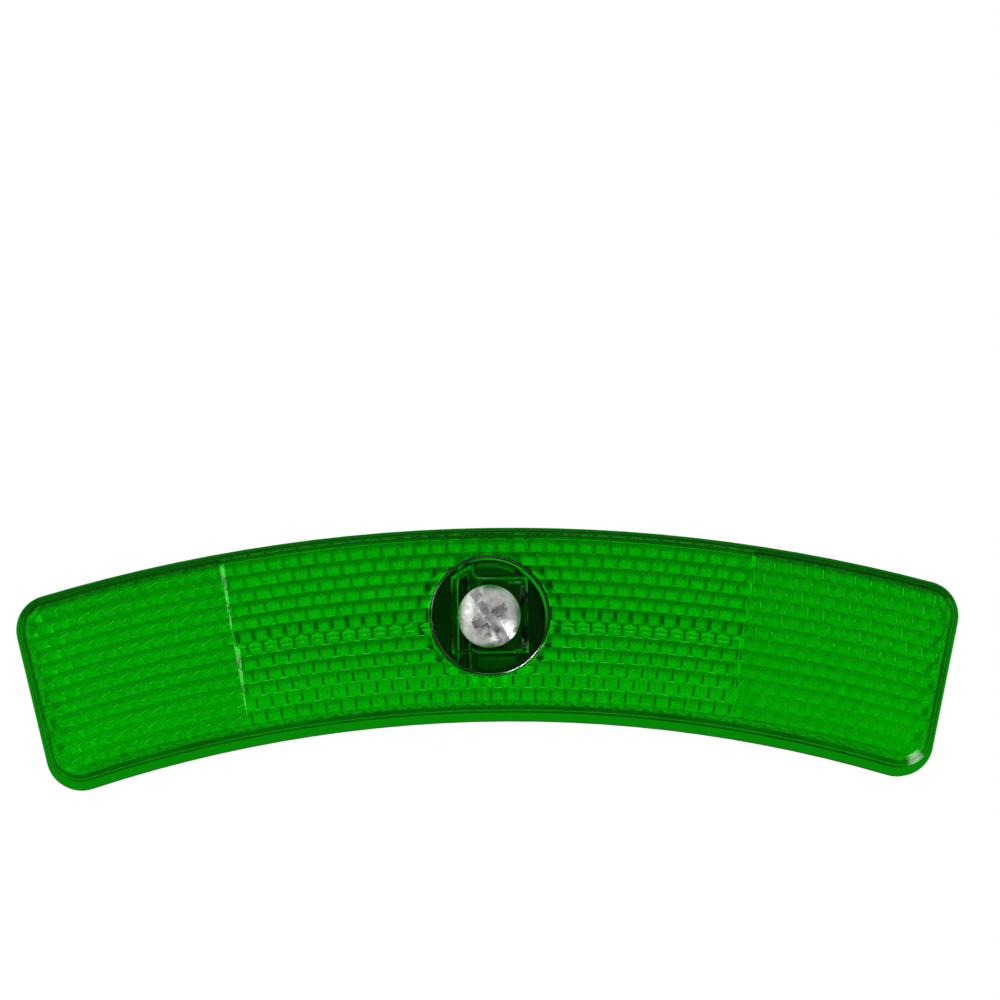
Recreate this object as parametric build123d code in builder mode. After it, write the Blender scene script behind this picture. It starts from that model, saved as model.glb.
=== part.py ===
"""Bicycle spoke reflector: a two-sided arc lens on a hub, clamped to one wheel spoke.

Millimetres. The origin lies on the spoke's axis, at the middle of the clamp. +Z runs along the
spoke, out to the rim; the front lens faces -Y. Depths are distances forward of the spoke's axis.
"""

import os
from math import cos, radians, sin, sqrt, tan

from build123d import *

# Plan of both lenses, seen from the front and measured from the screw's axis
corner_span = 137.6
crown_height = 12.9
belly_depth = 14.1
outer_arc_radius = 237.0
inner_arc_radius = 194.0
end_lean = 12.7
corner_radius = 5.0

# Section of a lens
lens_depth = 4.2
face_wall = 1.5
side_wall = 1.1
rim_lip = 0.5
foot_lip = 0.85
flange_thickness = 1.4
rim_bevel = 1.5

# Sawtooth facets of the middle zone
zone_half_angle = 9.55
ridge_drop = 14.2
facet_rise = 0.9
facet_foot_rise = 0.1
facet_step_run = 0.7
facet_foot_inset = 2.0
facet_rim_inset = 1.3
facet_rim_run = 0.4
facet_side_taper = 40.0
facet_embed = 0.5

# Cube-corner prisms
cell_pitch = 2.25
rear_cell_pitch = 2.5
cell_embed = 0.3
cell_gap = 0.1
trim_runs = 110
hub_trim_runs = 30

# Spoke and clamp jaws
spoke_radius = 1.0
groove_clearance = 0.05
spoke_lens_gap = 0.35
spoke_offset = 3.5
jaw_gap = 0.4

# Hub, moulded with the front lens
hub_radius = 8.7
hub_hole_clearance = 0.1
boss_height = 2.2
boss_edge_radius = 0.5
channel_width = 10.0
channel_clearance = 0.1
low_cheek_height = 1.0
high_cheek_height = 3.8

# Well for the screw's head, with a notch and a window over the spoke beside it
well_width = 10.9
well_draft = 14.0
notch_width = 3.25
notch_rim_wall = 0.8
tongue_corner_radius = 1.2
window_width = 1.5
window_height = 1.5
window_rise = 5.35

# Cores that thin the hub from behind, above and below the well
core_wall = 0.4
core_left = 1.8
core_right = 3.8
core_rim_wall = 1.0
core_skin = 2.2
core_corner_radius = 0.3

# Screw, M4 with a low domed head and a slotted cross recess
thread_radius = 2.0
screw_length = 16.0
screw_hole_clearance = 0.15
screw_tip_chamfer = 0.4
head_radius = 4.5
head_height = 2.5
head_edge_height = 1.5
head_sink = 0.95
recess_turn = -59.0
slot_width = 1.5
slot_depth = 1.25
cross_width = 1.3
cross_span = 5.6
cross_depth = 1.7
cross_taper = 8.0

# Clip and its square nut
clip_thickness = 4.8
clip_end_gap = 0.2
clip_cheek_gap = 0.2
clip_corner_radius = 1.2
clip_edge_chamfer = 0.5
nut_width = 7.0
nut_thickness = 2.2
nut_corner_chamfer = 0.4
nut_clearance = 0.1
thread_clearance = 0.05
nut_pocket_depth = 3.4

# Depths worked out from the sizes above
groove_radius = spoke_radius + groove_clearance
back_face = spoke_radius + spoke_lens_gap
parting = back_face + lens_depth
front_face = parting + lens_depth
boss_face = front_face + boss_height
jaw_floor = jaw_gap / 2
head_top = boss_face - head_sink
head_seat = head_top - head_height
screw_tip = head_seat - screw_length
clip_front = -jaw_gap / 2
clip_back = clip_front - clip_thickness
nut_front = clip_back + nut_pocket_depth

# Plan places worked out from the sizes above
hub_x = spoke_offset
cavity_inset = rim_lip + side_wall
outer_centre_z = crown_height - outer_arc_radius
inner_centre_z = -belly_depth - inner_arc_radius
corner_height = outer_centre_z + sqrt(outer_arc_radius**2 - (corner_span / 2) ** 2)
lens_width = crown_height + belly_depth
ridge_radius = outer_arc_radius - ridge_drop
far_radius = outer_arc_radius + lens_width
near_radius = outer_arc_radius - 2 * lens_width
screw_axis = Axis((hub_x, 0, 0), (0, 1, 0))
well_depth = boss_face - head_seat
well_left = hub_x - well_width / 2
tongue_left = well_left + notch_width
draft_run = well_depth * tan(radians(well_draft)) / 2
tongue_middle = Vertex(tongue_left - draft_run, well_depth / 2 - boss_face, well_width / 2 - draft_run)


def front_plane(depth):
    """Plane that faces forward, at a depth forward of the spoke's axis."""
    return Plane.XZ.offset(depth)


def end_reach(height):
    """Half length of the plan at a height, along the leaning end line."""
    return corner_span / 2 + (height - corner_height) * tan(radians(end_lean))


def notch_top(across):
    """Height of the notch at a place across the hub, just inside the hub's rim."""
    return sqrt((hub_radius - notch_rim_wall) ** 2 - (across - hub_x) ** 2)


def plan_outline(inset, foot=0):
    """Arc-shaped plan of a lens, drawn in by an inset all round, let out by a foot along the inner arc."""
    top = crown_height
    bottom = corner_height - 2 * lens_width
    with BuildSketch() as plan:
        with BuildLine():
            Polyline(
                (hub_x - end_reach(top), top),
                (hub_x + end_reach(top), top),
                (hub_x + end_reach(bottom), bottom),
                (hub_x - end_reach(bottom), bottom),
                close=True,
            )
        make_face()
        with Locations((hub_x, outer_centre_z)):
            Circle(outer_arc_radius, mode=Mode.INTERSECT)
        with Locations((hub_x, inner_centre_z)):
            Circle(inner_arc_radius - foot, mode=Mode.SUBTRACT)
        fillet(plan.vertices(), corner_radius)
        if inset:
            offset(amount=-inset, kind=Kind.INTERSECTION, mode=Mode.REPLACE)
    return plan.sketch


def zone_corner(side, radius):
    """Point on the left (-1) or right (+1) side line of the middle zone."""
    spread = radians(zone_half_angle)
    return (hub_x + side * radius * sin(spread), outer_centre_z + radius * cos(spread))


flange_plan = plan_outline(0, foot_lip)
wall_plan = plan_outline(rim_lip)
cavity_plan = plan_outline(cavity_inset)
cell_plan = plan_outline(cavity_inset + cell_gap)


def polar_point(angle, radius):
    """Plan point at an angle from the crown and a radius from the outer arc's centre."""
    return (round(hub_x + radius * sin(angle), 6), round(outer_centre_z + radius * cos(angle), 6))


def cell_plan_points(pitch, angle, radius, turn):
    """Apex and outline of a brick-shaped cell: low and high points in turn, from its outer left corner down."""
    half = turn / 2
    tip = pitch / sqrt(3)
    steps = [(-half, tip), (-half, -tip / 2), (0, -tip / 2), (half, -tip / 2), (half, tip), (0, tip)]
    corners = [polar_point(angle + across, radius + outward) for across, outward in steps]
    return polar_point(angle, radius), corners


def prism_cells(pitch, patch):
    """Cells that reach into a patch, on rows that follow the outer arc inward from the cavity's edge."""
    row_pitch = pitch * sqrt(3) / 2
    first_row = outer_arc_radius - cavity_inset - pitch / sqrt(3)
    row_count = int(lens_width / row_pitch) + 1
    turn = pitch / ridge_radius
    column_count = int(corner_span / pitch / 2) + 1
    face = patch.face()
    cells = []
    for row in range(row_count):
        shift = (row % 2) / 2
        for column in range(-column_count, column_count + 1):
            place = ((column + shift) * turn, first_row - row * row_pitch)
            centre, corners = cell_plan_points(pitch, *place, turn)
            if any(face.is_inside(Vector(x, z, 0)) for x, z in [centre, *corners]):
                cells.append((centre, corners))
    return cells


def cell_edges(corners):
    """Edges of a cell, as pairs of corners in order."""
    return list(zip(corners, corners[1:] + corners[:1]))


def connected_groups(cells):
    """Groups of cells joined edge to edge, each of which makes one closed solid."""
    owners = {}
    for index, (_, corners) in enumerate(cells):
        for edge in cell_edges(corners):
            owners.setdefault(frozenset(edge), []).append(index)
    waiting = set(range(len(cells)))
    groups = []
    while waiting:
        group = set()
        reached = {min(waiting)}
        while reached:
            index = reached.pop()
            group.add(index)
            for edge in cell_edges(cells[index][1]):
                reached.update(set(owners[frozenset(edge)]) - group)
        waiting -= group
        groups.append([cells[index] for index in sorted(group)])
    return groups


def boundary_loops(cells):
    """Closed loops of corners round a group of cells: its outline and any hole in it."""
    directed = {edge for _, corners in cells for edge in cell_edges(corners)}
    following = {start: end for start, end in directed if (end, start) not in directed}
    loops = []
    while following:
        start, point = following.popitem()
        loop = [start]
        while point != start:
            loop.append(point)
            point = following.pop(point)
        loops.append(loop)
    return loops


def flat_face(points):
    """Flat face through corners given as (x, depth, z)."""
    return Face(Wire.make_polygon([Vector(x, -depth, z) for x, depth, z in points], close=True))


def prism_solid(pitch, cells, base, toward):
    """Closed solid of cube corners that stand on a wall at a base depth and point forward or back.

    Each cell is a roof of two faces and a third face at right angles to both, over an upright step.
    """
    edge_height = pitch * sqrt(3 / 8)
    apex_height = edge_height + pitch / sqrt(6)
    heights = {corner: index % 2 * edge_height for _, corners in cells for index, corner in enumerate(corners)}

    def raised(point):
        return (point[0], base + toward * heights[point], point[1])

    def sunk(point):
        return (point[0], base - toward * cell_embed, point[1])

    faces = []
    for centre, corners in cells:
        apex = (centre[0], base + toward * apex_height, centre[1])
        outer_left, left, step, right, outer_right, crown = [raised(corner) for corner in corners]
        for roof in ((crown, outer_left), (outer_left, left), (right, outer_right), (outer_right, crown)):
            faces.append(flat_face([apex, *roof]))
        faces.append(flat_face([apex, left, right]))
        faces.append(flat_face([left, step, right]))
    outlines = []
    for loop in boundary_loops(cells):
        for start, end in cell_edges(loop):
            faces.append(flat_face([raised(start), raised(end), sunk(end), sunk(start)]))
        outlines.append(flat_face([sunk(point) for point in loop]))
    outlines.sort(key=lambda outline: outline.area, reverse=True)
    faces.append(Face(outlines[0].outer_wire(), [hole.outer_wire() for hole in outlines[1:]]))
    return Solid(Shell(faces))


def prism_field(pitch, hub_edge, base, toward):
    """Prisms of one pitch over a whole lens, trimmed along straight runs to its cavity and round the hub."""
    outline = cell_plan.wire()
    with BuildSketch() as patch:
        with BuildLine():
            Polyline(*[outline @ (run / trim_runs) for run in range(trim_runs)], close=True)
        make_face()
        with Locations((hub_x, 0)):
            RegularPolygon(hub_edge, hub_trim_runs, major_radius=False, mode=Mode.SUBTRACT)
    with BuildPart() as field:
        for cells in connected_groups(prism_cells(pitch, patch.sketch)):
            add(prism_solid(pitch, cells, base, toward))
        with BuildSketch(front_plane(base)):
            add(patch.sketch)
        extrude(amount=lens_depth, both=True, mode=Mode.INTERSECT)
    return field.part


def lens_tray(toward):
    """Lens shell open at the parting plane: weld flange, side wall, bevelled rim and flat face."""
    with BuildPart() as tray:
        with BuildSketch(front_plane(parting)):
            add(wall_plan)
        extrude(amount=toward * lens_depth)
        outer_face = tray.faces().filter_by(Axis.Y).sort_by(Axis.Y)[0 if toward > 0 else -1]
        chamfer(outer_face.edges(), rim_bevel)
        with BuildSketch(front_plane(parting)):
            add(flange_plan)
        extrude(amount=toward * flange_thickness)
        with BuildSketch(front_plane(parting)):
            add(cavity_plan)
        extrude(amount=toward * (lens_depth - face_wall), mode=Mode.SUBTRACT)
    return tray.part


# Sawtooth facets of the middle zone, swept about the outer arc's centre
facet_back = front_face - facet_embed
facet_foot_radius = outer_arc_radius - lens_width + facet_foot_inset
facet_rim_radius = outer_arc_radius - facet_rim_inset
with BuildPart() as middle_facets:
    with BuildSketch(Plane(origin=(hub_x, 0, outer_centre_z), x_dir=(0, -1, 0), z_dir=(-1, 0, 0))):
        with BuildLine():
            Polyline(
                (facet_back, facet_foot_radius),
                (front_face, facet_foot_radius),
                (front_face + facet_rise, ridge_radius),
                (front_face + facet_foot_rise, ridge_radius + facet_step_run),
                (front_face + facet_rise, facet_rim_radius),
                (facet_back, facet_rim_radius + facet_rim_run),
                close=True,
            )
        make_face()
    revolve(axis=Axis((hub_x, 0, outer_centre_z), (0, 1, 0)), revolution_arc=2 * zone_half_angle)
    mirror(about=Plane.YZ.offset(hub_x))
    with BuildSketch(front_plane(facet_back)):
        with BuildLine():
            Polyline(
                zone_corner(-1, near_radius),
                zone_corner(-1, far_radius),
                zone_corner(1, far_radius),
                zone_corner(1, near_radius),
                close=True,
            )
        make_face()
    extrude(amount=facet_embed + 2 * facet_rise, taper=facet_side_taper, mode=Mode.INTERSECT)

front_tray = lens_tray(1)
rear_tray = lens_tray(-1)
hub_hole_radius = hub_radius + hub_hole_clearance
front_prisms = prism_field(cell_pitch, hub_radius + cell_gap, front_face - face_wall, -1)
rear_prisms = prism_field(rear_cell_pitch, hub_hole_radius + cell_gap, back_face + face_wall, 1)

# Room for the screw's head: a drafted well, with a notch that leaves a tongue above the head
with BuildPart() as head_well:
    with BuildSketch(front_plane(boss_face)):
        with Locations((hub_x, 0)):
            Rectangle(well_width, well_width)
    extrude(amount=-well_depth, taper=well_draft)
    with BuildSketch(front_plane(boss_face)):
        with BuildLine():
            Polyline(
                (well_left, 0),
                (tongue_left, 0),
                (tongue_left, notch_top(tongue_left)),
                (well_left, notch_top(well_left)),
                close=True,
            )
        make_face()
    extrude(amount=-well_depth, taper=well_draft)
    fillet(head_well.edges().sort_by_distance(tongue_middle)[0], tongue_corner_radius)

# Front lens: tray, facets, hub with its clamp channel, and prisms on the inner face
with BuildPart() as front_lens:
    add(front_tray)
    add(middle_facets.part)
    with BuildSketch(front_plane(jaw_floor)):
        with Locations((hub_x, 0)):
            Circle(hub_radius)
    extrude(amount=boss_face - jaw_floor)
    boss_rim = front_lens.faces().filter_by(Axis.Y).sort_by(Axis.Y)[0]
    fillet(boss_rim.edges(), boss_edge_radius)
    for side, cheek_height in ((-1, low_cheek_height), (1, high_cheek_height)):
        with BuildSketch(front_plane(jaw_floor)):
            with Locations((hub_x, 0)):
                Circle(hub_radius)
            with Locations((hub_x + side * (channel_width / 2 + hub_radius), 0)):
                Rectangle(2 * hub_radius, 2 * hub_radius, mode=Mode.INTERSECT)
        extrude(amount=-cheek_height)
    add(head_well.part, mode=Mode.SUBTRACT)
    with BuildSketch(front_plane(jaw_floor)):
        with Locations((0, window_rise)):
            Rectangle(window_width, window_height)
    extrude(amount=head_seat - jaw_floor, mode=Mode.SUBTRACT)
    for side in (-1, 1):
        core_edge = well_width / 2 + core_wall
        with BuildSketch(front_plane(jaw_floor)) as core:
            with Locations((hub_x, 0)):
                Circle(hub_radius - core_rim_wall)
            with Locations((hub_x + (core_right - core_left) / 2, side * (core_edge + hub_radius))):
                Rectangle(core_left + core_right, 2 * hub_radius, mode=Mode.INTERSECT)
            fillet(core.vertices(), core_corner_radius)
        extrude(amount=boss_face - core_skin - jaw_floor, mode=Mode.SUBTRACT)
    with BuildSketch(front_plane(jaw_floor)):
        with Locations((hub_x, 0)):
            Circle(thread_radius + screw_hole_clearance)
    extrude(amount=head_seat - jaw_floor, mode=Mode.SUBTRACT)
    Cylinder(groove_radius, 4 * hub_radius, mode=Mode.SUBTRACT)
    add(front_prisms)
front_lens.part.label = "front_lens"

# Rear lens: the same tray turned to the back, with a hole for the hub
with BuildPart() as rear_lens:
    add(rear_tray)
    with BuildSketch(front_plane(back_face)):
        with Locations((hub_x, 0)):
            Circle(hub_hole_radius)
    extrude(amount=face_wall, mode=Mode.SUBTRACT)
    add(rear_prisms)
rear_lens.part.label = "rear_lens"

# Clip: a block in the hub's channel, grooved for the spoke and pocketed for the nut, on a round plate
# that covers both cheeks
with BuildPart() as spoke_clip:
    with BuildSketch(front_plane(clip_front)) as clip_plan:
        with Locations((hub_x, 0)):
            Circle(hub_radius - clip_end_gap)
            Rectangle(channel_width - 2 * channel_clearance, 2 * hub_radius, mode=Mode.INTERSECT)
        fillet(clip_plan.vertices(), clip_corner_radius)
    extrude(amount=-clip_thickness)
    for side, cheek_height in ((-1, low_cheek_height), (1, high_cheek_height)):
        cover_front = jaw_floor - cheek_height - clip_cheek_gap
        with BuildSketch(front_plane(cover_front)):
            with Locations((hub_x, 0)):
                Circle(hub_radius - clip_end_gap)
            with Locations((hub_x + side * hub_radius, 0)):
                Rectangle(2 * hub_radius, 2 * hub_radius, mode=Mode.INTERSECT)
        extrude(amount=clip_back - cover_front)
    back_rim = spoke_clip.faces().filter_by(Axis.Y).sort_by(Axis.Y)[-1]
    chamfer(back_rim.edges(), clip_edge_chamfer)
    with BuildSketch(front_plane(clip_back)):
        with Locations((hub_x, 0)):
            Rectangle(nut_width + 2 * nut_clearance, nut_width + 2 * nut_clearance)
    extrude(amount=nut_pocket_depth, mode=Mode.SUBTRACT)
    with BuildSketch(front_plane(clip_back)):
        with Locations((hub_x, 0)):
            Circle(thread_radius + screw_hole_clearance)
    extrude(amount=clip_thickness, mode=Mode.SUBTRACT)
    Cylinder(groove_radius, 4 * hub_radius, mode=Mode.SUBTRACT)
spoke_clip.part.label = "spoke_clip"

# Square nut, held from turning by the clip's pocket
with BuildPart() as clamp_nut:
    with BuildSketch(front_plane(nut_front)) as nut_plan:
        with Locations((hub_x, 0)):
            Rectangle(nut_width, nut_width)
        chamfer(nut_plan.vertices(), nut_corner_chamfer)
        with Locations((hub_x, 0)):
            Circle(thread_radius + thread_clearance, mode=Mode.SUBTRACT)
    extrude(amount=-nut_thickness)
clamp_nut.part.label = "clamp_nut"

# Clamp screw: domed head, slotted cross recess, plain shank at the thread's outer size
with BuildPart() as clamp_screw:
    with BuildSketch(Plane(origin=(hub_x, 0, 0), x_dir=(1, 0, 0), z_dir=(0, 0, -1))):
        with BuildLine():
            TangentArc((0, head_top), (head_radius, head_seat + head_edge_height), tangent=(1, 0))
            Polyline(
                (head_radius, head_seat + head_edge_height),
                (head_radius, head_seat),
                (thread_radius, head_seat),
                (thread_radius, screw_tip + screw_tip_chamfer),
                (thread_radius - screw_tip_chamfer, screw_tip),
                (0, screw_tip),
                (0, head_top),
            )
        make_face()
    revolve(axis=screw_axis)
    with BuildSketch(front_plane(head_top)):
        with Locations((hub_x, 0)):
            Rectangle(4 * head_radius, slot_width, rotation=recess_turn)
    extrude(amount=-slot_depth, mode=Mode.SUBTRACT)
    with BuildSketch(front_plane(head_top)):
        with Locations((hub_x, 0)):
            Rectangle(cross_width, cross_span, rotation=recess_turn)
            Rectangle(cross_span, cross_width, rotation=recess_turn)
    extrude(amount=-cross_depth, taper=cross_taper, mode=Mode.SUBTRACT)
clamp_screw.part.label = "clamp_screw"

os.makedirs("parts", exist_ok=True)
for piece in (front_lens, rear_lens, spoke_clip, clamp_nut, clamp_screw):
    export_step(piece.part, f"parts/{piece.part.label}.step")
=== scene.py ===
"""Looks of a green spoke reflector: clear prism lenses, a dark clip and a zinc-plated screw.

Metres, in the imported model's own frame: the spoke runs along Z, the front lens faces -Y. A depth is
counted forward from the spoke's axis, towards -Y.
"""

import logging
import math
from dataclasses import dataclass, field, replace
from enum import Enum
from functools import partial

import bmesh
import bpy
from bpy.types import ID, Mesh, NodeSocket, NodeTree, Object
from mathutils import Matrix, Vector


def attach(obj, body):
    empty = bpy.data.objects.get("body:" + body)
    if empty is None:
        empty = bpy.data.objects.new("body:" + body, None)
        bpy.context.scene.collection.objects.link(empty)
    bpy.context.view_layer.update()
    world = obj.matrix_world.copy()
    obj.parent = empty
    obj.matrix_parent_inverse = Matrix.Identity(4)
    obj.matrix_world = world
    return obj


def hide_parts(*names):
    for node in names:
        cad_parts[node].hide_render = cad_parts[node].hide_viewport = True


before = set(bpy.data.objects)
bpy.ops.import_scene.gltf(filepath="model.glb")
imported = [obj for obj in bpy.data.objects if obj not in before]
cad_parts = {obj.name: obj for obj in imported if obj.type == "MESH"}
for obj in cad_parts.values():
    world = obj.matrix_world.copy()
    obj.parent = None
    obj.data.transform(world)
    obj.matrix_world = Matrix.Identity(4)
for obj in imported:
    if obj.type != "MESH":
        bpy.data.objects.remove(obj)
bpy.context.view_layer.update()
MM = 0.001
LOG = logging.getLogger("spoke_reflector")

# Corners nearer than this are one
MERGE_REACH = 0.0005 * MM
# Least share of Y in the direction of a flat front or back face
FLAT_FRONT = 0.98
# Bend in degrees from which an edge between two such faces is sharp
FRONT_BEND = 1.0
# Mottle values between which a colour changes from its darker shade to itself
MOTTLE_EDGES = (0.3, 0.7)
# Sockets of a Mix node for colours and of a Random Value node for floats, whose names aren't unique
MIX_FACTOR, MIX_FIRST, MIX_SECOND, MIX_RESULT = 0, 6, 7, 2
RANDOM_LOW, RANDOM_HIGH, RANDOM_RESULT = 2, 3, 1
# Ends of the two ranges of a Map Range node
RANGE_ENDS = ("From Min", "From Max", "To Min", "To Max")
# Values that every strip between the cells carries
STRIP_SIZES = ("wide", "long", "turn")


class Body(str, Enum):
    """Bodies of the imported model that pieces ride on."""

    LENS = "lens_body"
    SCREW = "screw"


class Slot(str, Enum):
    """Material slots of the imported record."""

    GLASS = "green_lens"
    CLIP = "clip_plastic"
    STEEL = "plated_steel"


class Node(str, Enum):
    """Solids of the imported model."""

    FRONT = "front_lens"
    REAR = "rear_lens"
    CLIP = "spoke_clip"
    NUT = "clamp_nut"
    SCREW = "clamp_screw"


class Mark(str, Enum):
    """Face attributes that the finishes read."""

    PRISM = "prism"
    # share of painted shade on the rim and the hub
    RIM_SHADE = "rim"
    RECESS = "recess"


class Rough(Enum):
    """Base roughness of each kind of surface."""

    POLISHED = 0.02
    PLATED = 0.22
    SATIN = 0.5


@dataclass(frozen=True)
class Plan:
    """Places in the front view that the sub-assemblies share."""

    hub_x: float = 3.5 * MM  # place of the axis of the hub and the screw
    crown_centre: float = -224.1 * MM  # height of the crown arc's centre
    foot_centre: float = -208.1 * MM  # height of the foot arc's centre
    end_slope: float = 0.2254  # lean of the ends

    def out(self, point: Vector, height: float = 0.0) -> float:
        """Return a point's distance from the place at a height over or under the hub's axis."""
        return math.hypot(point.x - self.hub_x, point.z - height)

    def bearing(self, point: Vector) -> float:
        """Return a point's angle from the crown's middle about the crown arc's centre, in degrees."""
        return math.degrees(math.atan2(point.x - self.hub_x, point.z - self.crown_centre))

    def past_end(self, point: Vector, reach: float) -> bool:
        """Tell whether a point lies past either leaning end, at a half length."""
        return abs(point.x - self.hub_x) > reach + point.z * self.end_slope


PLAN = Plan()


def new_object(name: str, data: ID) -> Object:
    """Put a mesh, a camera or a lamp into the scene as an object at the origin.

    Args:
        name: Name of the object.
        data: What it shows.

    Returns:
        The linked object.
    """
    item = bpy.data.objects.new(name, data)
    bpy.context.scene.collection.objects.link(item)
    return item


def merged_copy(node: Node) -> bmesh.types.BMesh:
    """Copy a CAD node's loose triangles into one joined mesh.

    Args:
        node: The solid to copy.

    Returns:
        A new mesh with its doubles merged.
    """
    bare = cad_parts[node.value].data.copy()
    for layer in ("custom_normal", "sharp_face", "sharp_edge"):
        if layer in bare.attributes:
            bare.attributes.remove(bare.attributes[layer])
    copy = bmesh.new()
    copy.from_mesh(bare)
    bpy.data.meshes.remove(bare)
    bmesh.ops.remove_doubles(copy, verts=copy.verts, dist=MERGE_REACH)
    return copy


def finished_mesh(name: str, shape: bmesh.types.BMesh, angle: float) -> Mesh:
    """Turn a working mesh into a plain one, shaded smooth on its rounds and flat elsewhere.

    Args:
        name: Name of the mesh.
        shape: The working mesh, which is freed.
        angle: Angle in degrees from which an edge is sharp; between two flat fronts nearly any is.

    Returns:
        The plain mesh.
    """
    shape.normal_update()
    for face in shape.faces:
        face.smooth = True
    for edge in shape.edges:
        if edge.is_manifold:
            bend = math.degrees(edge.calc_face_angle())
            fronts = all(abs(face.normal.y) > FLAT_FRONT for face in edge.link_faces)
            edge.smooth = bend < (FRONT_BEND if fronts else angle)
    mesh = bpy.data.meshes.new(name)
    shape.to_mesh(mesh)
    shape.free()
    return mesh


def feed(node: bpy.types.Node, inputs: dict[str | int, object]) -> None:
    """Give a node its inputs.

    Args:
        node: The node.
        inputs: Value of each input, or the output that is linked to it, by name or number.
    """
    for key, value in inputs.items():
        if isinstance(value, NodeSocket):
            node.id_data.links.new(value, node.inputs[key])
        else:
            node.inputs[key].default_value = value


def add(
    tree: NodeTree, kind: str, inputs: dict[str | int, object] | None = None, **settings: object
) -> bpy.types.Node:
    """Add a node to a tree.

    Args:
        tree: The tree.
        kind: Kind of the node.
        inputs: What its inputs get.
        settings: Its settings.

    Returns:
        The node.
    """
    node = tree.nodes.new(kind)
    for name, value in settings.items():
        setattr(node, name, value)
    feed(node, inputs or {})
    return node


def calc(tree: NodeTree, operation: str, *values: object) -> NodeSocket:
    """Work values or outputs out by a Math node and return its output."""
    return add(tree, "ShaderNodeMath", dict(enumerate(values)), operation=operation).outputs[0]


def ranged(
    tree: NodeTree, value: NodeSocket, before: tuple, after: tuple, kind: str = "LINEAR"
) -> NodeSocket:
    """Map a value from one range to another and return the output."""
    inputs = {"Value": value, **dict(zip(RANGE_ENDS, (*before, *after)))}
    return add(tree, "ShaderNodeMapRange", inputs, interpolation_type=kind).outputs["Result"]


def new_tree(name: str, inputs: dict[str, str]) -> tuple[NodeTree, dict[str, NodeSocket]]:
    """Start a Geometry Nodes tree.

    Args:
        name: Name of the tree.
        inputs: Kind of each named input.

    Returns:
        The tree and the outputs that carry its inputs, by name.
    """
    tree = bpy.data.node_groups.new(name, "GeometryNodeTree")
    for label, kind in inputs.items():
        tree.interface.new_socket(label, in_out="INPUT", socket_type=f"NodeSocket{kind}")
    tree.interface.new_socket("Geometry", in_out="OUTPUT", socket_type="NodeSocketGeometry")
    source = add(tree, "NodeGroupInput")
    return tree, {label: source.outputs[label] for label in inputs}


def close_tree(tree: NodeTree, shape: NodeSocket, finish: NodeSocket) -> None:
    """End a Geometry Nodes tree: make its shape real and give it a material.

    Args:
        tree: The tree.
        shape: Output that carries the shape.
        finish: Output that carries the material.
    """
    whole = add(tree, "GeometryNodeRealizeInstances", {"Geometry": shape}).outputs["Geometry"]
    dressed = add(tree, "GeometryNodeSetMaterial", {"Geometry": whole, "Material": finish})
    add(tree, "NodeGroupOutput", {"Geometry": dressed.outputs["Geometry"]})


def grown_mesh(name: str, base: Mesh, tree: NodeTree, values: dict[str, object]) -> Mesh:
    """Run a Geometry Nodes tree on a mesh and keep what it makes as a plain mesh.

    Args:
        name: Name of the new mesh.
        base: Mesh that the tree starts from.
        tree: The tree.
        values: Value of each named input.

    Returns:
        The plain mesh.
    """
    item = new_object(f"{name}_maker", base)
    modifier = item.modifiers.new(tree.name, "NODES")
    modifier.node_group = tree
    for socket in tree.interface.items_tree:
        if socket.in_out == "INPUT" and socket.name in values:
            modifier[socket.identifier] = values[socket.name]
    graph = bpy.context.evaluated_depsgraph_get()
    mesh = bpy.data.meshes.new_from_object(item.evaluated_get(graph))
    item.modifiers.remove(modifier)
    bpy.data.objects.remove(item)
    mesh.name = name
    return mesh


class GrainGroup:
    """Shader group of fine moulding or handling grain that every finish uses."""

    NAME = "fine_grain"
    INPUTS = ("Grain Scale", "Flow Scale", "Rough Low", "Rough High")
    OUTPUTS = ("Roughness", "Height", "Mottle")
    DETAIL = {"Grain Scale": 4.0, "Flow Scale": 2.0}
    BLEND_RANGE = (0.1, 0.45)

    @classmethod
    def tree(cls) -> NodeTree:
        """Build the group once.

        Returns:
            The shader node tree with its named inputs and outputs.
        """
        if cls.NAME in bpy.data.node_groups:
            return bpy.data.node_groups[cls.NAME]
        tree = bpy.data.node_groups.new(cls.NAME, "ShaderNodeTree")
        for side, names in (("INPUT", cls.INPUTS), ("OUTPUT", cls.OUTPUTS)):
            for name in names:
                tree.interface.new_socket(name, in_out=side, socket_type="NodeSocketFloat")
        source = add(tree, "NodeGroupInput").outputs
        place = add(tree, "ShaderNodeTexCoord").outputs["Object"]
        grain, flow = (
            add(tree, "ShaderNodeTexNoise", {"Vector": place, "Scale": source[scale], "Detail": detail})
            for scale, detail in cls.DETAIL.items()
        )
        blend = calc(tree, "MULTIPLY", grain.outputs["Fac"], flow.outputs["Fac"])
        ends = (source["Rough Low"], source["Rough High"])
        results = {
            "Roughness": ranged(tree, blend, cls.BLEND_RANGE, ends),
            "Height": grain.outputs["Fac"],
            "Mottle": flow.outputs["Fac"],
        }
        add(tree, "NodeGroupOutput", results)
        return tree


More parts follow.
